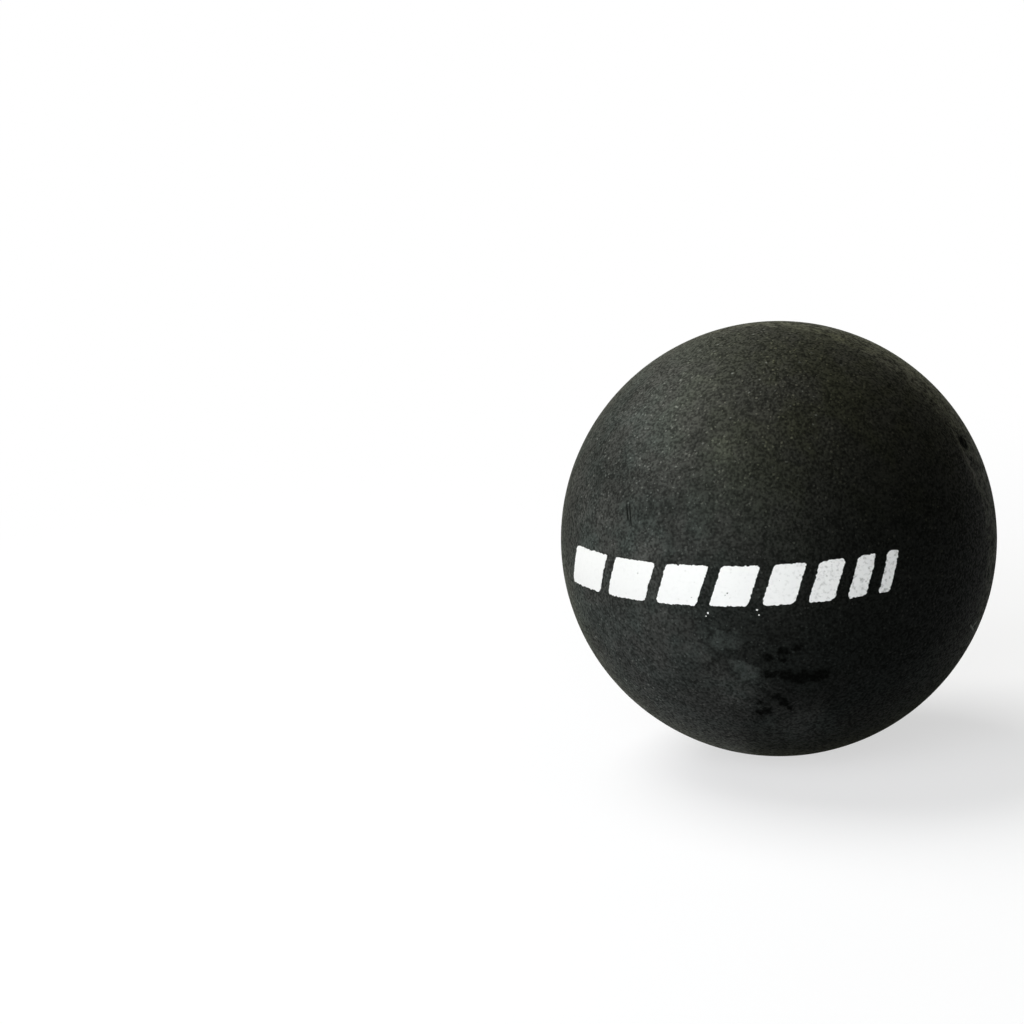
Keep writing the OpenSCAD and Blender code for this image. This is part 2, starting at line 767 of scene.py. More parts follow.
    def dust_and_painted_light(self) -> Sock:
        """Gives the share of dust, and of painted light and shade, in the rubber's colour.

        Returns:
            The share.
        """
        marks, cloud = self.marks, self.cloud
        bloom = self.round_marks(self.place, marks.bloom, 0.0) * (0.35 + 0.65 * cloud)
        hazes = self.round_marks(self.place, marks.hazes, 0.0)
        # The lit left edge: partly dust, partly painted light.
        edge = self.within(marks.dust_and_light_edge)
        # Painted shade at the upper left limb.
        limb_shade = self.within(marks.shaded_limb)
        # Painted light at the lower right limb.
        pale = self.within(marks.lit_limb)
        height = self.shader.axis(self.place, "Z") * (1 / self.camera.radius)
        # Painted light from above and from the floor below, laid into the colour as paler rubber.
        under = height.band(*self.PAINTED_LIGHT_BELOW)
        above = height.band(*self.PAINTED_LIGHT_ABOVE)
        buffed = self.strip * (0.4 + 0.8 * self.blotches)
        # side and edge lay dust and painted light on the lit left side; above, under and pale lay only
        # painted light.
        veil = self.side * (0.095 + 0.08 * cloud) + edge * (0.085 + 0.06 * cloud)
        veil = veil + bloom * 0.05 + above * 0.13 + under * 0.12 + buffed * 0.17
        veil = veil + self.smudges * 0.15 + hazes * 0.22 + pale * 0.10
        spotted = self.points * (0.08 + 0.08 * self.side + 0.30 * self.specked)
        # limb_shade darkens the upper left limb: painted shade.
        left = (0.55 + 0.9 * self.coarse) * (1 - 0.8 * self.stains) * (1 - 0.4 * limb_shade)
        return (veil + spotted) * left

    def grit(self) -> Sock:
        """Gives the share of pale grit in the rubber's colour."""
        share = 0.03 + 0.05 * self.side + 0.50 * self.specked
        return self.flecks * share * (1 - self.stains) + self.scuffs

    def warmth(self) -> Sock:
        """Masks the rubber with the warmer tint."""
        return self.within(self.marks.warm_side) | self.strip * 0.75

    def holes(self) -> Sock:
        """Gives how open the grain's pores are, from 0 to 1 in clean rubber.

        Returns:
            The mask, which is above 1 in dark blots and cuts.
        """
        pores = (1 - self.grain) * (1 - 0.2 * self.smudges) * (1 - self.points)
        pores = pores + (0.5 - self.coarse) * 0.5 + self.strip * (0.24 - 0.45 * self.blotches)
        stained = self.stains * (1.65 - 0.65 * self.grain)
        return (1.15 - 0.15 * self.side) * (pores | stained | 1.4 * self.cuts)

    def relief(self) -> Sock:
        """Gives the height of the grain, about 0 to 1."""
        grain = self.grain * 0.6 + self.tiny * 0.2 + self.coarse * 0.6 + self.points * 0.3
        return grain * (1 - 0.4 * self.smudges) - self.cuts * 0.6 + self.scuffs * 0.3


@dataclass(frozen=True)
class BuffedRubber:
    """Matt black rubber with a fine grain, pale grit, and a dusty left side that is partly painted
    light.

    Args:
        name: The material's name.
        dark: The colour of the clean rubber.
        dust_and_painted_light: The colour of the dust in the grain, which also paints light on the lit
            left side, the top, the bottom and the lower right limb.
        grit: The colour of the pale grit.
        cool: The tint of its cooler side.
        warm: The tint of its warmer side.
        rosy: The tint of its patches.
        roughness: Its mean roughness.
        specular: The strength of its reflection.
        reflection: The tint of its reflection.
        sheen: The strength of the sheen that its nap gives.
        sheen_roughness: The roughness of that sheen.
        nap: The tint of that sheen.
        grain_depth: The depth of its grain.
        pore_share: How much of its light the grain's pores swallow.
    """

    name: str = "buffed_rubber"
    dark: Colour = (0.0016, 0.0018, 0.0015)
    dust_and_painted_light: Colour = (0.111, 0.115, 0.105)
    grit: Colour = (0.23, 0.24, 0.22)
    cool: Colour = (0.88, 1.0, 1.02)
    warm: Colour = (1.03, 1.0, 0.60)
    rosy: Colour = (1.07, 0.96, 1.00)
    roughness: float = 0.62
    specular: float = 0.20
    reflection: Colour = (0.93, 1.0, 0.92)
    sheen: float = 0.07
    sheen_roughness: float = 0.28
    nap: Colour = (1.0, 1.0, 0.63)
    grain_depth: float = 45 * MICRON
    pore_share: float = 0.62

    def material(self, marks: WearAndPaintedLight, camera: PhotoCamera) -> bpy.types.Material:
        """Makes the material: the crests of the grain, and the dark pores between them.

        Args:
            marks: The marks on the rubber.
            camera: The photograph's camera, which places them.

        Returns:
            The material.
        """
        shader, material = Shader.for_material(self.name)
        patterns = RubberPatterns(shader, marks, camera)
        tint = shader.mix(patterns.warmth(), self.cool, self.warm)
        tint = shader.mix(patterns.patch * 0.55, tint, self.rosy)
        # This colour holds dust, and the painted light and shade laid on as dust.
        clean = shader.mix(patterns.dust_and_painted_light(), self.dark, self.dust_and_painted_light)
        tinted = shader.mix(1.0, clean, tint, "MULTIPLY")
        normal = shader.bump(patterns.relief(), self.grain_depth)
        uneven = (patterns.coarse - 0.5) * 0.1 - patterns.smudges * 0.04
        crest = shader.principled(
            Base_Color=shader.mix(patterns.grit(), tinted, self.grit),
            Roughness=self.roughness + uneven,
            Specular_IOR_Level=self.specular,
            Specular_Tint=self.reflection,
            Sheen_Weight=self.sheen,
            Sheen_Roughness=self.sheen_roughness,
            Sheen_Tint=self.nap,
            Normal=normal,
        )
        pore = shader.principled(
            Base_Color=self.dark, Roughness=1.0, Specular_IOR_Level=0.02, Normal=normal
        )
        holes = self.pore_share * patterns.holes()
        shader.surface(shader.mix_shaders(holes, crest, pore))
        return material


@dataclass(frozen=True)
class PadInk:
    """Matt pad-printed ink that lets the rubber's grain show through where it is thin.

    Args:
        name: The material's name.
        colour: The colour of the ink.
        thin: The colour where it is thin.
        ink_shade: X at which its painted shade begins, and X at which it is full; it darkens the ink
            towards -X.
        worn: X at which its wear begins, and X at which it is full.
        roughness: Its roughness.
        relief: The depth of the grain that shows in it.
        grain: The places where it lies thin on the rubber's grain.
        blotch: The wider places where it is thin.
        pinholes: The holes in it.
    """

    name: str
    colour: Colour
    thin: Colour
    ink_shade: Point2
    worn: Point2
    roughness: float = 0.55
    relief: float = 40 * MICRON
    grain: Noise = Noise(0.32 * MM, 1.5, 21.0)
    blotch: Noise = Noise(0.75 * MM, 1.0, 22.0)
    pinholes: Specks = Specks(0.42 * MM, 0.13 * MM, 0.35)

    def material(self) -> bpy.types.Material:
        """Makes the material.

        Returns:
            The material.
        """
        shader, material = Shader.for_material(self.name)
        place = shader.place()
        across = shader.axis(place, "X")
        grain = shader.noise(place, self.grain)
        blotch = shader.noise(place, self.blotch)
        pinholes = shader.specks(place, self.pinholes)
        wear = across.band(*self.worn)
        ink_shade = across.band(*self.ink_shade)
        thinness = (
            grain.band(0.50, 0.74) * (0.05 + 0.60 * wear)
            + blotch.band(0.50, 0.80) * (0.02 + 0.20 * wear)
            + pinholes * (0.12 + 0.45 * wear)
        )
        # Painted shade: the ink is darker by up to 13% towards -X, where the lamps light it most.
        top = shader.mix(ink_shade * 0.13, self.colour, (0.0, 0.0, 0.0))
        ink = shader.principled(
            Base_Color=shader.mix(thinness, top, self.thin),
            Roughness=self.roughness + (grain - 0.5) * 0.1,
            Specular_IOR_Level=0.3,
            Normal=shader.bump(grain * 0.7 - pinholes * 0.4, self.relief),
        )
        shader.surface(ink)
        return material


@dataclass(frozen=True)
class StudioFloor:
    """A pale floor that looks white to the camera, yet keeps the ball's shadow.

    Args:
        behind: The direction in which the camera's background lies.
        seen: Its colour to the camera.
        lit: Its colour to the light that falls on the ball.
        mottle: Its faint unevenness.
        white_share: The share of its white that no shadow reaches, near the ball.
        shadow_reach: The distance from the ball beyond which it is all white.
        background_from: How far behind the ball that background begins.
        background_to: How far behind the ball it is complete.
    """

    behind: Vector
    seen: Colour = (0.86, 0.86, 0.91)
    lit: Colour = (0.32, 0.33, 0.36)
    mottle: Noise = Noise(40 * MM, 2.0, 31.0)
    white_share: float = 0.62
    shadow_reach: float = 150 * MM
    background_from: float = 80 * MM
    background_to: float = 320 * MM

    def material(self) -> bpy.types.Material:
        """Makes the material.

        Returns:
            The material.
        """
        shader, material = Shader.for_material("pale_floor")
        place = shader.place()
        seen = shader.mix(shader.noise(place, self.mottle) * 0.04, self.seen, self.lit)
        lit = shader.value("ShaderNodeBsdfDiffuse", {"Color": self.lit})
        pale = shader.value("ShaderNodeBsdfDiffuse", {"Color": seen})
        white = shader.value("ShaderNodeEmission", {"Strength": 1.0})
        depth = shader.vectors("DOT_PRODUCT", place, self.behind)
        background = depth.band(self.background_from, self.background_to)
        from_ball = shader.vectors("DISTANCE", place, (0, 0, 0))
        all_white = from_ball.band(0.4 * self.shadow_reach, self.shadow_reach)
        share = self.white_share + (1 - self.white_share) * all_white
        to_camera = shader.mix_shaders(share, pale, white)
        shown = shader.background_rays(background)
        shader.surface(shader.mix_shaders(shown, lit, to_camera))
        return material


class SpaceNoise:
    """Smooth seeded noise in space, from -1 to 1, read for many points at once."""

    TABLE_SIZE = 4096
    MULTIPLIERS = (73856093, 19349663, 83492791)

    def __init__(self, seed: int) -> None:
        """Draws the table of random values."""
        self.table = np.random.default_rng(seed).uniform(-1, 1, self.TABLE_SIZE)

    def __call__(self, points: np.ndarray, period: float) -> np.ndarray:
        """Reads the noise.

        Args:
            points: The points, a row for each.
            period: The size of the noise's lumps.

        Returns:
            A value for each point.
        """
        scaled = points / period
        corner = np.floor(scaled).astype(np.int64)
        part = scaled - corner
        part = part * part * (3 - 2 * part)
        total = np.zeros(len(points))
        for offset in np.ndindex(2, 2, 2):
            at = (corner + offset) * self.MULTIPLIERS
            index = (at[:, 0] ^ at[:, 1] ^ at[:, 2]) % self.TABLE_SIZE
            weight = np.where(offset, part, 1 - part).prod(axis=1)
            total += weight * self.table[index]
        return total


@dataclass(frozen=True)
class Lumps:
    """Smooth lumps, as drops below the highest place of a surface.

    Args:
        seed: The seed of their noise.
        period: Their size.
        depth: The depth between them.
    """

    seed: int
    period: float
    depth: float

    def drops(self, points: np.ndarray) -> np.ndarray:
        """Gives the drop at each point."""
        return (1 - SpaceNoise(self.seed)(points, self.period)) / 2 * self.depth


@dataclass(frozen=True)
class RubberSkin:
    """The outside of the rubber, with the shallow lumps and dents that a mould leaves.

    Args:
        camera: The photograph's camera, which knows the radius that nothing stands out of.
        dents: The dents.
        dent_depth: The depth of a dent.
        fine: The small lumps.
        broad: The broad lumps.
    """

    camera: PhotoCamera
    dents: tuple[Spot, ...]
    dent_depth: float = 14 * MICRON
    fine: Lumps = Lumps(3, 0.9 * MM, 7 * MICRON)
    broad: Lumps = Lumps(4, 3.1 * MM, 12 * MICRON)

    def height(self, directions: np.ndarray) -> np.ndarray:
        """Finds the distance of the skin from the middle of the ball.

        Args:
            directions: Unit vectors, a row for each.

        Returns:
            The distance in each direction.
        """
        points = directions * self.camera.radius
        depth = self.fine.drops(points) + self.broad.drops(points)
        for dent in self.dents:
            middle = np.array(self.camera.on_ball(dent.middle))
            away = np.linalg.norm(points - middle, axis=1) / dent.radius
            depth += self.dent_depth * np.clip(1 - away**2, 0, 1) ** 2
        return self.camera.radius - depth


@dataclass(frozen=True)
class Grid:
    """A grid of four-sided faces.

    Args:
        columns: Faces across.
        rows: Faces up.
    """

    columns: int
    rows: int

    def index(self, start: int) -> np.ndarray:
        """Numbers the grid's points from a start, row by row."""
        count = (self.rows + 1) * (self.columns + 1)
        return start + np.arange(count).reshape(self.rows + 1, -1)

    def faces(self, start: int) -> list[Face]:
        """Joins the grid's points, numbered from a start."""
        k = self.index(start)
        return np.stack([k[:-1, :-1], k[:-1, 1:], k[1:, 1:], k[1:, :-1]], 2).reshape(-1, 4).tolist()

    def border(self, start: int) -> list[int]:
        """Walks round the grid's border, with its points numbered from a start."""
        k = self.index(start)
        return np.concatenate([k[0, :-1], k[:-1, -1], k[-1, :0:-1], k[:0:-1, 0]]).tolist()

    def on_disc(self) -> np.ndarray:
        """Spreads the grid evenly over a disc of radius 1.

        Returns:
            The grid's points.
        """
        lines = (np.linspace(-1, 1, count + 1) for count in (self.columns, self.rows))
        across, up = (a.ravel() for a in np.meshgrid(*lines))
        wide = np.abs(across) > np.abs(up)
        reach = np.where(wide, across, up)
        other = np.where(wide, up, across)
        share = other / np.where(reach == 0, 1, reach) * math.pi / 4
        turn = np.where(wide, share, math.pi / 2 - share)
        return np.stack([reach * np.cos(turn), reach * np.sin(turn)], axis=1)

    def on_bowl(self, side: Side, opening: float) -> np.ndarray:
        """Spreads the grid evenly over a bowl round a pole of the ball.

        Args:
            side: The half of the ball that the pole belongs to.
            opening: The angle from the pole to the bowl's edge.

        Returns:
            Unit vectors, a row for each point of the grid.
        """
        flat = self.on_disc()
        reach = np.linalg.norm(flat, axis=1)
        height = 1 - reach**2 * (1 - math.cos(opening))
        spread = np.sqrt(np.clip(1 - height**2, 0, None)) / np.where(reach == 0, 1, reach)
        sign = side.value
        return np.stack([-sign * flat[:, 0] * spread, sign * height, flat[:, 1] * spread], 1)


def strip(first: list[int], second: list[int]) -> list[Face]:
    """Joins two closed rings that have the same number of points."""
    after = [*range(1, len(first)), 0]
    return [(first[j], first[k], second[k], second[j])[::-1] for k, j in enumerate(after)]


def fans(outer: list[int], inner: list[int]) -> list[Face]:
    """Joins a fine ring to a coarse one, with a fan of triangles for each coarse edge.

    Args:
        outer: The fine ring.
        inner: The coarse ring, whose count divides the fine one's.

    Returns:
        The triangles.
    """
    ratio = len(outer) // len(inner)
    half = ratio // 2
    faces = []
    for k, here in enumerate(inner):
        there = inner[(k + 1) % len(inner)]
        fine = [outer[(k * ratio + i) % len(outer)] for i in range(ratio + 1)]
        faces += [(fine[i + 1], fine[i], here) for i in range(half)]
        faces.append((there, fine[half], here))
        faces += [(fine[i + 1], fine[i], there) for i in range(half, ratio)]
    return faces


@dataclass
class Part:
    """Pieces of the ball that have one material.

    Args:
        sizes: The ball's sizes.
        skin: The relief of the rubber.
        material: The material.
    """

    SLOT: ClassVar[Slot]

    sizes: BallSizes
    skin: RubberSkin
    material: bpy.types.Material

    def piece(
        self, name: str, points: np.ndarray, faces: list[Face], sharp_degrees: float = 35
    ) -> bpy.types.Object:
        """Makes a smooth-shaded piece and lets it ride on the ball's body.

        Args:
            name: The name of the piece.
            points: Its vertices, in the frame.
            faces: Its faces, as indices of vertices.
            sharp_degrees: Edges that turn by more degrees than this stay sharp.

        Returns:
            The piece.
        """
        mesh = new_mesh(name, points.tolist(), faces, self.material)
        mesh.shade_smooth()
        mesh.set_sharp_from_angle(angle=math.radians(sharp_degrees))
        piece = add_object(name, mesh)
        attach(piece, BODY)
        log.info("%s: %d vertices, %d faces", name, len(points), len(faces))
        return piece


@dataclass
class HalfShell(Part):
    """One moulded half of the ball: its skin, the groove's side, the rim and the hollow.

    Args:
        side: Which half it is.
        outer: The grid of the skin.
        inner: The grid of the hollow.
        lip: The width over which the groove's mouth is rounded.
        sharp_degrees: Edges that turn by more degrees than this stay sharp.
    """

    SLOT = Slot.RUBBER

    side: Side
    outer: Grid = Grid(272, 272)
    inner: Grid = Grid(68, 68)
    lip: float = 0.015 * MM
    sharp_degrees: float = 15

    def ring(self, directions: np.ndarray, place: np.ndarray) -> np.ndarray:
        """Lays points round the axis through the poles, at a distance from it and the seam."""
        level = unit(directions * (1, 0, 1))
        return level * place[0] + np.array([0, self.side.value * place[1], 0])

    def build(self) -> None:
        """Builds the half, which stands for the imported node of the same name."""
        sizes = self.sizes
        mouth = np.array(sizes.groove_side(sizes.radius))
        foot = np.array((sizes.groove_foot, sizes.film_half))
        below = mouth + (foot - mouth) / np.linalg.norm(foot - mouth) * self.lip
        opening = math.atan2(mouth[0], mouth[1]) - self.lip / sizes.radius
        above = np.array((math.sin(opening), math.cos(opening))) * sizes.radius
        corner = (above + below + 2 * mouth) / 4

        directions = self.outer.on_bowl(self.side, opening)
        outside = directions * self.skin.height(directions)[:, None]
        previous = self.outer.border(0)
        edge = directions[previous]
        rounded = unit(self.ring(edge, corner))
        lip_reach = self.skin.height(rounded) - sizes.radius + np.linalg.norm(corner)
        rings = [rounded * lip_reach[:, None], self.ring(edge, below), self.ring(edge, foot)]
        hollow_opening = math.acos(sizes.film_half / sizes.cavity_radius)
        inside = self.inner.on_bowl(self.side, hollow_opening) * sizes.cavity_radius

        faces = self.outer.faces(0)
        start = len(outside)
        for ring in rings:
            current = list(range(start, start + len(ring)))
            faces += strip(previous, current)
            previous = current
            start += len(ring)
        faces += [face[::-1] for face in self.inner.faces(start)]
        faces += fans(previous, self.inner.border(start))
        points = np.concatenate([outside, *rings, inside])
        name = f"{self.side.name.lower()}_half"
        piece = self.piece(name, points, faces, self.sharp_degrees)
        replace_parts(piece, name)


@dataclass
class SeamRing(Part):
    """The adhesive: what fills the groove, the film between the rims and the bead inside.

    Args:
        steps: Sections round the ring.
        filling_points: Points across the filling.
        bead_points: Points across the bead.
        flush: How far the filling lies below the rubber where it is highest.
        hollow: How deep the filling sags between the groove's sides.
        ripple: How the filling's depth varies along the seam.
        bead_ripple: How the bead's height varies along the seam.
        overlap: How far the adhesive reaches into the rubber.
    """

    SLOT = Slot.ADHESIVE

    steps: int = 960
    filling_points: int = 9
    bead_points: int = 13
    flush: float = 0.008 * MM
    hollow: float = 0.004 * MM
    ripple: Lumps = Lumps(7, 2.3 * MM, 0.008 * MM)
    bead_ripple: Lumps = Lumps(7, 6.1 * MM, 0.12 * MM)
    overlap: float = 0.003 * MM

    def section(self, fill_drop: float, bead_drop: float) -> list[Point2]:
        """Draws the closed outline of one section.

        Args:
            fill_drop: How far the filling lies below its highest place.
            bead_drop: How far the bead lies below its highest place.

        Returns:
            Points, as the distance from the axis through the poles and from the seam.
        """
        sizes = self.sizes
        side, mouth = sizes.groove_side(sizes.radius - self.flush - fill_drop)
        filling = [
            (side - self.hollow * (1 - share**2), share * (mouth + self.overlap))
            for share in np.linspace(-1, 1, self.filling_points)
        ]
        bead_height = sizes.bead_height - bead_drop
        bead = []
        for share in np.linspace(1, -1, self.bead_points):
            across = share * sizes.bead_half
            wall = math.sqrt(sizes.cavity_radius**2 - across**2)
            bead.append((wall + self.overlap - bead_height * (1 - share**2), across))
        neck = (sizes.cavity_radius + 2 * self.overlap, sizes.film_half)
        foot = (sizes.groove_foot, sizes.film_half)
        return [(foot[0], -foot[1]), *filling, foot, neck, *bead, (neck[0], -neck[1])]

    def build(self) -> None:
        """Builds the ring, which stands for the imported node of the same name."""
        turns = np.arange(self.steps) * 2 * math.pi / self.steps
        around = np.stack([np.cos(turns), 0 * turns, np.sin(turns)], axis=1)
        along = around * self.sizes.radius
        drops = zip(self.ripple.drops(along), self.bead_ripple.drops(along))
        points = []
        for level, (fill_drop, bead_drop) in zip(around, drops):
            for reach, across in self.section(fill_drop, bead_drop):
                points.append((level[0] * reach, across, level[2] * reach))
        sections = np.arange(len(points)).reshape(self.steps, -1).tolist()
        faces = []
        for here, there in zip(sections, sections[1:] + sections[:1]):
            faces += strip(here, there)
        name = "seam_adhesive"
        piece = self.piece(name, np.array(points), faces)
        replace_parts(piece, name)


@dataclass(frozen=True)
class Outline:
    """The outline of a print: a box that may lean to the right, with rounded corners.

    Args:
        outward: The direction from which it is seen.
        half_width: Half its width.
        half_height: Half its height.
        corner_radius: How round its corners are.
        lift: How far its middle lies above the middle of the ball.
        slope: How far it leans to the right for each step up.
    """

    outward: Vector
    half_width: float
    half_height: float
    corner_radius: float
    lift: float = 0.0
    slope: float = 0.0

    @classmethod
    def circle(cls, outward: Vector, radius: float) -> "Outline":
        """Makes a round outline."""
        return cls(outward, radius, radius, radius)

    def distance(self, right: np.ndarray, up: np.ndarray) -> np.ndarray:
        """Gives how far places lie outside the outline.

        Args:
            right: How far each place lies to the right.
            up: How far each place lies above the middle of the ball.

        Returns:
            The distances, which are negative inside.
        """
        upright = math.cos(math.atan(self.slope))
        beside = np.abs(right - (up - self.lift) * self.slope) - self.half_width
        beyond = np.abs(up - self.lift) - self.half_height
        reach = np.stack([beside * upright, beyond]) + self.corner_radius
        outside = np.linalg.norm(np.maximum(reach, 0), axis=0)
        return outside + np.minimum(reach.max(axis=0), 0) - self.corner_radius

    def lay(self, places: np.ndarray, radius: float) -> np.ndarray:
        """Projects places of the outline's plane onto a sphere.

        Args:
            places: The places, to the right and up.
            radius: The sphere's radius.

        Returns:
            Unit vectors from the middle of the ball.
        """
        right = Vector((0, 0, 1)).cross(self.outward).normalized()
        up = self.outward.cross(right)
        depth = np.sqrt(radius**2 - (places**2).sum(axis=1))
        points = np.outer(places[:, 0], right) + np.outer(places[:, 1], up)
        return (points + np.outer(depth, self.outward)) / radius


@dataclass
class InkFilm:
    """A film of ink on the rubber, cut out by an outline with an uneven edge.

    Args:
        sizes: The ball's sizes.
        skin: The rubber's relief, which the film follows.
        outline: The outline.
        margin: The space round the outline that the uneven edge may use.
        cell: The size of the mesh's faces.
        edge_wander: How far the edge wanders.
        edge_period: The distance between two bulges of the edge.
        hole_level: The noise above which the ink has a pinhole, where 1 is never.
        hole_period: The distance between two pinholes at the least.
        hole_slope: The distance over which the noise of the pinholes rises by 1.
        sunk: How far the film reaches into the rubber.
        share_of_height: The film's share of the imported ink's thickness.
    """

    EDGE = SpaceNoise(11)
    HOLES = SpaceNoise(12)

    sizes: BallSizes
    skin: RubberSkin
    outline: Outline
    margin: float = 0.2 * MM
    cell: float = 0.06 * MM
    edge_wander: float = 0.12 * MM
    edge_period: float = 0.28 * MM
    hole_level: float = 0.92
    hole_period: float = 0.24 * MM
    hole_slope: float = 0.3 * MM
    sunk: float = 0.004 * MM
    share_of_height: float = 0.8

    def field_values(self, places: np.ndarray) -> np.ndarray:
        """Gives a value for each place, which is negative where there is ink.

        Args:
            places: The places in the outline's plane, to the right and up.

        Returns:
            The values.
        """
        points = self.outline.lay(places, self.sizes.radius) * self.sizes.radius
        wander = 0.5 * self.EDGE(points, self.edge_period)
        wander += 0.5 * self.EDGE(points, 0.45 * self.edge_period)
        edge = self.outline.distance(places[:, 0], places[:, 1]) + self.edge_wander * wander
        holes = (self.HOLES(points, self.hole_period) - self.hole_level) * self.hole_slope
        return np.maximum(edge, holes)

    def cut(self) -> tuple[np.ndarray, list[Face]]:
        """Cuts the film out of a fine grid in the outline's plane.

        Returns:
            Its points, to the right and up, and its faces.
        """
        outline = self.outline
        half_width = outline.half_width + outline.half_height * abs(outline.slope) + self.margin
        halves = (half_width, outline.half_height + self.margin)
        counts = [math.ceil(2 * half / self.cell) for half in halves]
        lines = [
            middle + (np.arange(count + 1) - count / 2) * self.cell
            for middle, count in zip((0, outline.lift), counts)
        ]
        grid = np.stack([a.ravel() for a in np.meshgrid(*lines)], axis=1)
        values = self.field_values(grid)
        inked = values < 0
        places: list[np.ndarray] = []
        index_of: dict[tuple[int, int], int] = {}

        def corner(first: int, second: int) -> int:
            """Finds a grid point, or the place where the ink's edge crosses between two.

            Args:
                first: The index of a grid point.
                second: The same index, or that of a point beside it.

            Returns:
                The place's index.
            """
            key = (min(first, second), max(first, second))
            if key not in index_of:
                share = 0.0
                if first != second:
                    low, high = values[key[0]], values[key[1]]
                    share = low / (low - high)
                index_of[key] = len(places)
                places.append(grid[key[0]] * (1 - share) + grid[key[1]] * share)
            return index_of[key]

        faces = []
        for square in Grid(*counts).faces(0):
            face = []
            for here, there in zip(square, square[1:] + square[:1]):
                if inked[here]:
                    face.append(corner(here, here))
                if inked[here] != inked[there]:
                    face.append(corner(here, there))
            if face:
                faces.append(tuple(face))
        return np.array(places), faces

    def solid(self) -> tuple[np.ndarray, list[Face]]:
        """Closes the film, with a top, a bottom and walls.

        Returns:
            Its points, in the frame, and its faces.
        """
        places, faces = self.cut()
        directions = self.outline.lay(places, self.sizes.radius)
        skin = self.skin.height(directions)
        top = directions * (skin + self.share_of_height * self.sizes.ink_height)[:, None]
        bottom = directions * (skin - self.sunk)[:, None]
        count = len(places)
        edges = {pair for face in faces for pair in zip(face, face[1:] + face[:1])}
        rims = [(a, b) for a, b in sorted(edges) if (b, a) not in edges]
        walls = [(a, a + count, b + count, b) for a, b in rims]
        under = [tuple(k + count for k in face[::-1]) for face in faces]
        return np.concatenate([top, bottom]), faces + under + walls


@dataclass
class InkPrint(Part):
    """Several films of one ink."""

    SLOT = Slot.WHITE_INK

    def film(self, name: str, outline: Outline, **options: float) -> bpy.types.Object:
        """Makes one film, where options are further fields of InkFilm."""
        film = InkFilm(self.sizes, self.skin, outline, **options)
        return self.piece(name, *film.solid())


@dataclass
class PrintedRow(InkPrint):
    """The row of leaning bars, each a film of white ink.

    Args:
        corner_radius: How round the bars' corners are.
    """

    corner_radius: float = 0.3 * MM

    def outline(self, node: str) -> Outline:
        """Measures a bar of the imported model.

        Args:
            node: The bar's node.

        Returns:
            Its outline, with rounded corners.
        """
        points = node_points(node)
        bottom, top = points[:, 2].min(), points[:, 2].max()
        corners = []
        for level in (bottom, top):
            edge = points[np.abs(points[:, 2] - level) < MICRON]
            turns = np.arctan2(edge[:, 0], -edge[:, 1])
            corners += [edge[turns.argmin()], edge[turns.argmax()]]
        total = np.sum(corners, axis=0)
        outward = Vector((total[0], total[1], 0)).normalized()
        across = np.array(corners) @ np.array((-outward.y, outward.x, 0))
        return Outline(
            outward=outward,
            half_width=(across[1] - across[0] + across[3] - across[2]) / 4,
            half_height=(top - bottom) / 2,
            corner_radius=self.corner_radius,
            lift=(top + bottom) / 2,
            slope=(across[2] + across[3] - across[0] - across[1]) / 2 / (top - bottom),
        )

    def build(self) -> None:
        """Builds every bar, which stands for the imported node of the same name."""
        for name in nodes_named("print_bar_"):
            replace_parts(self.film(name, self.outline(name)), name)


@dataclass
class SpeedDots(InkPrint):
    """The dots on the far side, each a film of yellow ink.

    Args:
        edge_wander: How far a dot's edge wanders.
    """

    SLOT = Slot.YELLOW_INK

    edge_wander: float = 0.06 * MM

    def build(self) -> None:
        """Builds every dot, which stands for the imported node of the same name."""
        for name in nodes_named("speed_dot_"):
            low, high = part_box(name)
            outward = Vector(node_points(name).mean(axis=0)).normalized()
            outline = Outline.circle(outward, (high[2] - low[2]) / 2)
            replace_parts(self.film(name, outline, edge_wander=self.edge_wander), name)


@dataclass
class StrayInk(InkPrint):
    """The specks of white ink that the print left below the row, placed by the photograph.

    Args:
        specks: The specks.
        cell: The size of the mesh's faces.
        edge_wander: How far a speck's edge wanders.
        edge_period: The distance between two bulges of the edge.
        share_of_height: A speck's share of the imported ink's thickness.
    """

    specks: tuple[Spot, ...] = spots(
        (708, 613, 0.09), (706, 616, 0.05), (757, 610, 0.09), (759, 615, 0.07)
    )
    cell: float = 0.03 * MM
    edge_wander: float = 0.05 * MM
    edge_period: float = 0.15 * MM
    share_of_height: float = 0.4

    def build(self) -> None:
        """Builds every speck."""
        for number, speck in enumerate(self.specks, start=1):
            outward = self.skin.camera.on_ball(speck.middle).normalized()
            self.film(
                f"stray_ink_{number}",
                Outline.circle(outward, speck.radius),
                margin=speck.radius,
                cell=self.cell,
                edge_wander=self.edge_wander,
                edge_period=self.edge_period,
                hole_level=1.0,
                share_of_height=self.share_of_height,
            )


@dataclass(frozen=True)
class SquareLamp:
    """A square lamp that the camera doesn't see.

    Args:
        name: Its name.
        size: The length of its sides.
        brightness: How bright a white surface that faces it looks, or how bright a card looks.
        azimuth: Degrees to the right of the camera.
        distance: From the middle of the ball, or from where it touches the floor.
        colour: Its colour.
    """

    name: str
    size: float
    brightness: float
    azimuth: float
    distance: float = 700 * MM
    colour: Colour = (1.0, 1.0, 1.0)

    def add(self, power: float, place: Vector, away: Vector) -> None:
        """Adds the lamp to the scene.

        Args:
            power: Its power in watts.
            place: Where its middle is.
            away: The direction that its back faces.
        """
        data = bpy.data.lights.new(self.name, "AREA")
        data.shape = "SQUARE"
        data.size = self.size
        data.color = self.colour
        data.energy = power
        lamp = add_object(self.name, data)
        lamp.location = place
        lamp.rotation_mode = "QUATERNION"
        lamp.rotation_quaternion = away.to_track_quat("Z", "Y")
        lamp.visible_camera = False


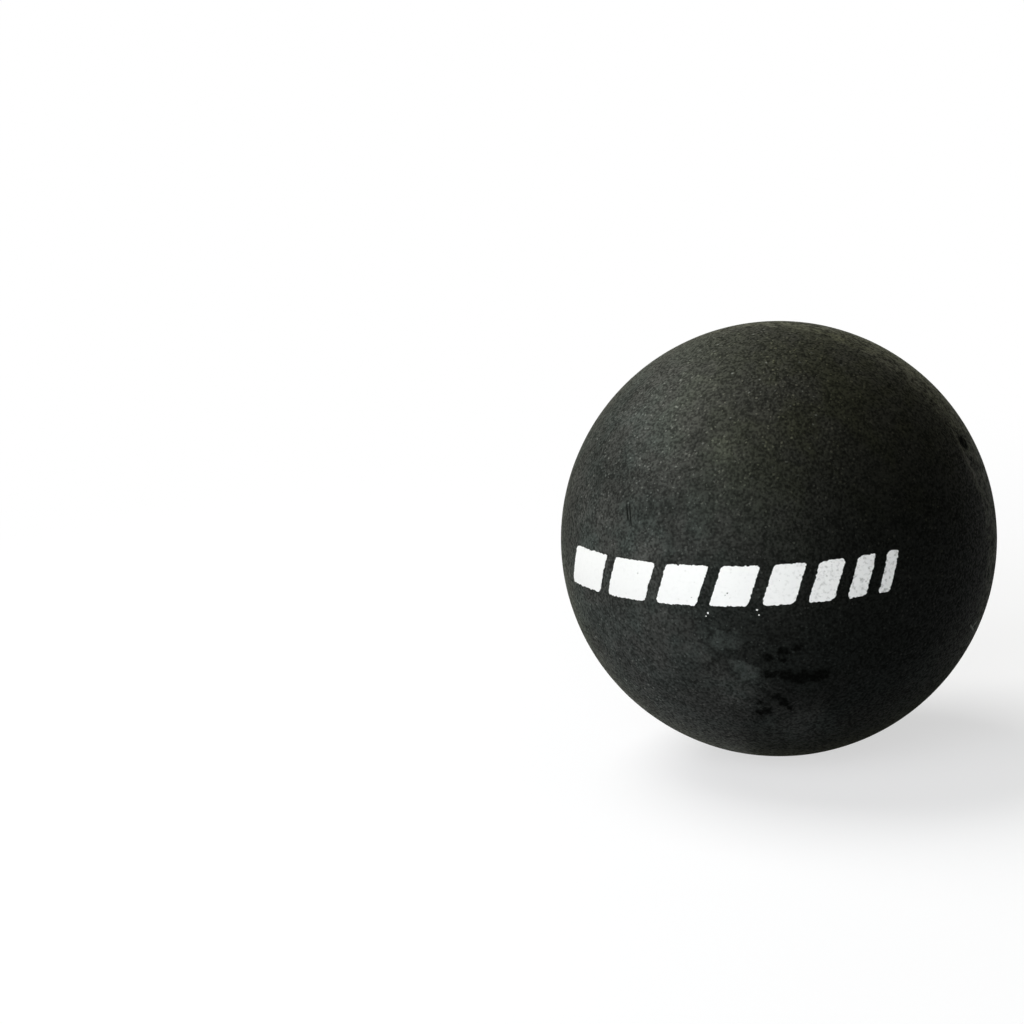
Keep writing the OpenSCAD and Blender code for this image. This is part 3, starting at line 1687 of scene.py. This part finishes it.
@dataclass(frozen=True)
class SoftLamp(SquareLamp):
    """A soft light that faces the ball.

    Args:
        elevation: Degrees above the horizon.
    """

    elevation: float = 0.0

    def build(self, camera: PhotoCamera) -> None:
        """Makes the lamp, placed from the camera."""
        towards = camera.towards(self.azimuth, self.elevation)
        self.add(self.brightness * (math.pi * self.distance) ** 2, towards * self.distance, towards)


@dataclass(frozen=True)
class FloorCard(SquareLamp):
    """A white card that lies on the floor beside the ball and throws light up at it.

    Args:
        lift: How far it lies above the floor.
    """

    lift: float = 0.5 * MM

    def build(self, camera: PhotoCamera) -> None:
        """Makes the card, placed from the camera.

        Args:
            camera: The photograph's camera.
        """
        place = camera.towards(self.azimuth, 0) * self.distance
        place.z = self.lift - camera.radius
        self.add(self.brightness * math.pi * self.size**2, place, Vector((0, 0, -1)))


@dataclass
class Studio:
    """The floor, the lamps and the room round the ball.

    Args:
        camera: The photograph's camera.
        lamps: The lights.
        floor_size: The length of the floor's sides.
        room: The light of the room on the ball.
        glow: The colour of the backdrop in the ball's reflection.
        backdrop_angle: How far from the backdrop's middle its white reaches, in degrees.
        backdrop_edge: How much the cosine of that angle falls across the backdrop's soft edge.
    """

    camera: PhotoCamera
    lamps: tuple[SoftLamp | FloorCard, ...] = (
        SoftLamp("window", 0.5, 0.42, -40.0, colour=(0.98, 1.0, 0.99), elevation=30.0),
        SoftLamp("fill", 0.55, 0.60, -18.0, colour=(0.98, 1.0, 0.99), elevation=16.0),
        SoftLamp("rear_window", 0.5, 1.10, -125.0, colour=(1.0, 1.0, 0.94), elevation=55.0),
        FloorCard("card", 70 * MM, 0.40, -60.0, distance=55 * MM),
    )
    floor_size: float = 12.0
    room: Colour = (0.073, 0.073, 0.058)
    glow: Colour = (1.0, 1.0, 0.82)
    backdrop_angle: float = 17.0
    backdrop_edge: float = 0.04

    def build_floor(self) -> None:
        """Makes the floor under the ball."""
        half = self.floor_size / 2
        corners = ((-half, -half), (half, -half), (half, half), (-half, half))
        points = [(x, y, -self.camera.radius) for x, y in corners]
        material = StudioFloor(behind=-self.camera.towards(0, 0)).material()
        floor = add_object("floor", new_mesh("floor", points, [(0, 1, 2, 3)], material))

    def build_world(self) -> None:
        """Makes the room: dim, with a white backdrop behind the ball."""
        world = bpy.data.worlds.new("studio")
        world.use_nodes = True
        bpy.context.scene.world = world
        shader = Shader(world.node_tree)
        direction = shader.value("ShaderNodeTexCoord", {}, "Generated")
        behind = -self.camera.towards(0, -self.camera.elevation)
        edge = math.cos(math.radians(self.backdrop_angle))
        backdrop = shader.vectors("DOT_PRODUCT", direction, behind)
        shown = shader.background_rays(backdrop.band(edge - self.backdrop_edge, edge))
        room = shader.value("ShaderNodeBackground", {"Color": self.room})
        colour = shader.mix(shader.ray("Is Glossy Ray"), (1.0, 1.0, 1.0), self.glow)
        white = shader.value("ShaderNodeBackground", {"Color": colour})
        light = shader.mix_shaders(shown, room, white)
        shader.node("ShaderNodeOutputWorld", {"Surface": light})

    def build(self) -> None:
        """Makes the floor, the world and the lamps."""
        self.build_floor()
        self.build_world()
        for lamp in self.lamps:
            lamp.build(self.camera)
        bpy.context.scene.view_settings.view_transform = "Standard"


def main() -> None:
    """Builds the ball and its studio."""
    logging.basicConfig(level=logging.INFO, format="%(name)s: %(message)s")
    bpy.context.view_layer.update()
    sizes = BallSizes.from_frame()
    log.info("radius %.3f mm, hollow %.3f mm", sizes.radius / MM, sizes.cavity_radius / MM)

    camera = PhotoCamera(sizes.radius)
    camera.build()
    Studio(camera).build()

    marks = WearAndPaintedLight()
    skin = RubberSkin(camera, marks.dents)
    rubber = BuffedRubber().material(marks, camera)
    for side in Side:
        HalfShell(sizes, skin, rubber, side).build()
    glue = BuffedRubber(name="seam_adhesive", dark=(0.0024, 0.0025, 0.0022), roughness=0.58)
    SeamRing(sizes, skin, glue.material(marks, camera)).build()

    row_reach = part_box(nodes_named("print_bar_")[-1])[1].x
    white_ink = PadInk(
        name="white_ink",
        colour=(0.92, 0.918, 0.92),
        thin=(0.28, 0.28, 0.27),
        ink_shade=(0.1 * row_reach, -0.75 * row_reach),
        worn=(0.2 * row_reach, 0.95 * row_reach),
    )
    PrintedRow(sizes, skin, white_ink.material()).build()
    StrayInk(sizes, skin, white_ink.material()).build()
    yellow_ink = PadInk(
        name="yellow_ink",
        colour=(0.80, 0.55, 0.03),
        thin=(0.25, 0.17, 0.02),
        ink_shade=(-row_reach, -2 * row_reach),
        worn=(-row_reach, row_reach),
    )
    SpeedDots(sizes, skin, yellow_ink.material()).build()


if __name__ == "__main__":
    main()
